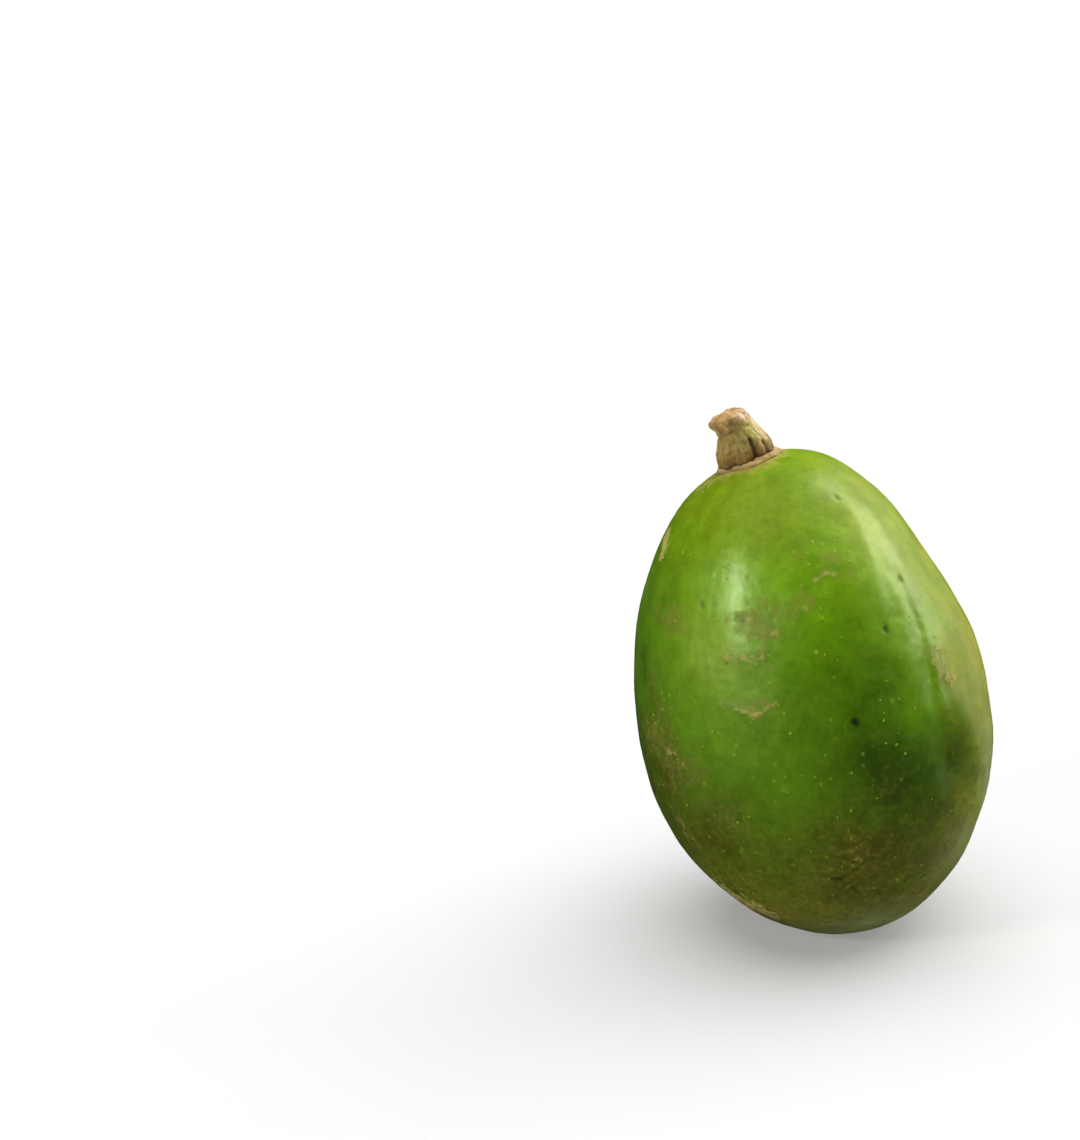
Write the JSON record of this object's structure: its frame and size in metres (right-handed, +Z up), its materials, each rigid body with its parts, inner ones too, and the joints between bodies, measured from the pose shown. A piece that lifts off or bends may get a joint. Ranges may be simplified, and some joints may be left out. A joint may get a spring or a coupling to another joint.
{
  "type": "hog plum",
  "caption": "Green oval hog plum with a woody stalk stub and corky collar, standing on its blunt blossom end.",
  "frame": {"origin": "the middle of the small flat spot that the fruit rests on", "axes": "+Z up from the surface, along the fruit's length, which leans 15 degrees from it towards -X and 5 degrees towards +Y; -Y is the side seen from the front"},
  "size_m": [0.0477, 0.049, 0.0694],
  "materials": {
    "skin": "smooth waxy green peel, yellow-green near the stalk and olive below, with pale dots, russet specks and thin corky scars",
    "corky_calyx": "dry, rough tan cork",
    "woody_stalk": "dry fluted bark, grey olive to tan, with a broken tan top"
  },
  "bodies": {
    "root": {"fruit": "skin", "calyx_collar": "corky_calyx", "stalk": "woody_stalk"}
  },
  "joints": []
}
